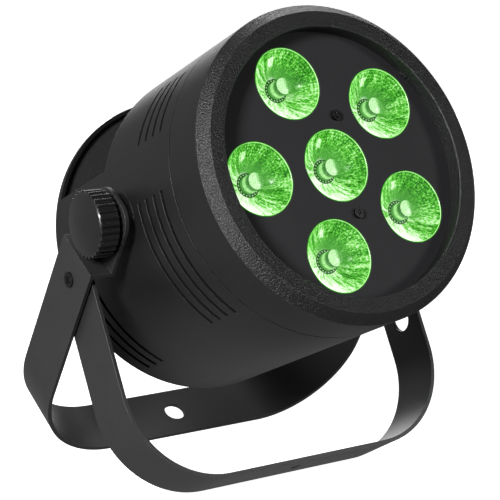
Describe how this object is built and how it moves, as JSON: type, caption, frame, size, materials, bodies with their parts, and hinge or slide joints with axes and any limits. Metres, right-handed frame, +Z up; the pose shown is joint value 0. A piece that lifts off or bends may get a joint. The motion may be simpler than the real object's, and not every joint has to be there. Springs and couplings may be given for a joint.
{
  "type": "par can light",
  "caption": "Black drum-shaped LED stage par light with round green-lit optics, tilting on side knobs in a folding two-bracket yoke that stands or hangs.",
  "frame": {"origin": "on the floor the brackets stand on, at the middle of the overall box", "axes": "+Z up, the lamp shines towards -Y and upwards, +X to the right of someone facing the lamp's front"},
  "size_m": [0.2292, 0.2298, 0.2719],
  "materials": {
    "bezel_plastic": "coarse sand texture, satin",
    "housing_plastic": "satin black",
    "panel_plastic": "smooth satin dark grey",
    "rear_plastic": "satin black",
    "holder_plastic": "matte",
    "fan_plastic": "satin",
    "socket_plastic": "semi-gloss",
    "knob_plastic": "satin",
    "button_grey": "satin",
    "display_black": "matte",
    "window_red": "gloss",
    "washer_nylon": "satin",
    "optic_lit_green": "clear acrylic, lit green",
    "led_phosphor": "gloss",
    "board_white": "solder mask",
    "board_green": "solder mask",
    "capacitor_sleeve": "gloss",
    "tape_yellow": "gloss",
    "washer_rubber": "matte",
    "foot_rubber": "matte",
    "bracket_paint": "satin black powder coat",
    "sheet_black": "satin black powder coat",
    "black_screw": "black oxide",
    "zinc_steel": "bright zinc",
    "connector_metal": "black chrome",
    "latch_metal": "satin",
    "pin_metal": "plated",
    "black_aluminium": "black anodised",
    "brass": "turned"
  },
  "bodies": {
    "rear_yoke": {"rear_bracket": "bracket_paint", "hinge_screws": "black_screw", "hinge_washers": "washer_nylon", "hinge_nuts": "zinc_steel"},
    "head": {"front_bezel": "bezel_plastic", "front_band": "housing_plastic", "front_panel": "panel_plastic", "panel_screws": "black_screw", "panel_posts": "brass", "optic_1": "optic_lit_green", "optic_2": "optic_lit_green", "optic_3": "optic_lit_green", "optic_4": "optic_lit_green", "optic_5": "optic_lit_green", "optic_6": "optic_lit_green", "optic_holders": "holder_plastic", "led_emitters": "led_phosphor", "led_board": "board_white", "board_screws": "zinc_steel", "heat_sink": "black_aluminium", "fan_frame": "fan_plastic", "fan_screws": "zinc_steel", "main_housing": "housing_plastic", "bush_left": "brass", "bush_right": "brass", "washer_left": "washer_rubber", "washer_right": "washer_rubber", "connector_plate": "sheet_black", "plate_screws": "black_screw", "power_inlet": "socket_plastic", "inlet_pins": "pin_metal", "power_outlet": "socket_plastic", "dmx_in": "connector_metal", "dmx_in_pins": "pin_metal", "dmx_out": "connector_metal", "safety_eye": "zinc_steel", "rear_plate": "rear_plastic", "rear_screws": "black_screw", "display_window": "window_red", "display_module": "display_black", "control_board": "board_green", "control_posts": "brass", "power_board": "board_green", "transformer": "tape_yellow", "capacitor": "capacitor_sleeve", "power_posts": "brass", "rear_feet": "foot_rubber"},
    "front_yoke": {"front_bracket": "bracket_paint"},
    "left_knob": {"knob_left": "knob_plastic", "stud_left": "zinc_steel"},
    "right_knob": {"knob_right": "knob_plastic", "stud_right": "zinc_steel"},
    "fan": {"fan_rotor": "fan_plastic"},
    "fuse_holder": {"fuse_drawer": "socket_plastic"},
    "latch_tab": {"dmx_latch": "latch_metal"},
    "menu_key": {"button_menu": "button_grey"},
    "down_key": {"button_down": "button_grey"},
    "up_key": {"button_up": "button_grey"},
    "enter_key": {"button_enter": "button_grey"}
  },
  "joints": [
    {"name": "head_tilt", "type": "hinge", "parent": "rear_yoke", "child": "head", "pos_m": [0, 0.00623, 0.15534], "axis": [1, 0, 0], "continuous": true},
    {"name": "front_yoke_fold", "type": "hinge", "parent": "rear_yoke", "child": "front_yoke", "pos_m": [0, 0.0277, 0.12112], "axis": [1, 0, 0], "range_deg": [-18, 60]},
    {"name": "left_knob_turn", "type": "hinge", "parent": "head", "child": "left_knob", "pos_m": [0, 0.00623, 0.15534], "axis": [-1, 0, 0], "range_deg": [0, 360]},
    {"name": "right_knob_turn", "type": "hinge", "parent": "head", "child": "right_knob", "pos_m": [0, 0.00623, 0.15534], "axis": [1, 0, 0], "range_deg": [0, 360]},
    {"name": "fan_spin", "type": "hinge", "parent": "head", "child": "fan", "pos_m": [0, -0.00254, 0.15726], "axis": [0, 0.9143, -0.4051], "continuous": true},
    {"name": "fuse_drawer_slide", "type": "slide", "parent": "head", "child": "fuse_holder", "axis": [0, 0.4051, 0.9143], "range_m": [0, 0.015]},
    {"name": "latch_press", "type": "slide", "parent": "head", "child": "latch_tab", "axis": [0, -0.4051, -0.9143], "range_m": [0, 0.002], "stiffness_N_per_m": 400, "springref_m": -0.0005},
    {"name": "menu_press", "type": "slide", "parent": "head", "child": "menu_key", "axis": [0, -0.9143, 0.4051], "range_m": [0, 0.001], "stiffness_N_per_m": 800, "springref_m": -0.0005},
    {"name": "down_press", "type": "slide", "parent": "head", "child": "down_key", "axis": [0, -0.9143, 0.4051], "range_m": [0, 0.001], "stiffness_N_per_m": 800, "springref_m": -0.0005},
    {"name": "up_press", "type": "slide", "parent": "head", "child": "up_key", "axis": [0, -0.9143, 0.4051], "range_m": [0, 0.001], "stiffness_N_per_m": 800, "springref_m": -0.0005},
    {"name": "enter_press", "type": "slide", "parent": "head", "child": "enter_key", "axis": [0, -0.9143, 0.4051], "range_m": [0, 0.001], "stiffness_N_per_m": 800, "springref_m": -0.0005}
  ]
}
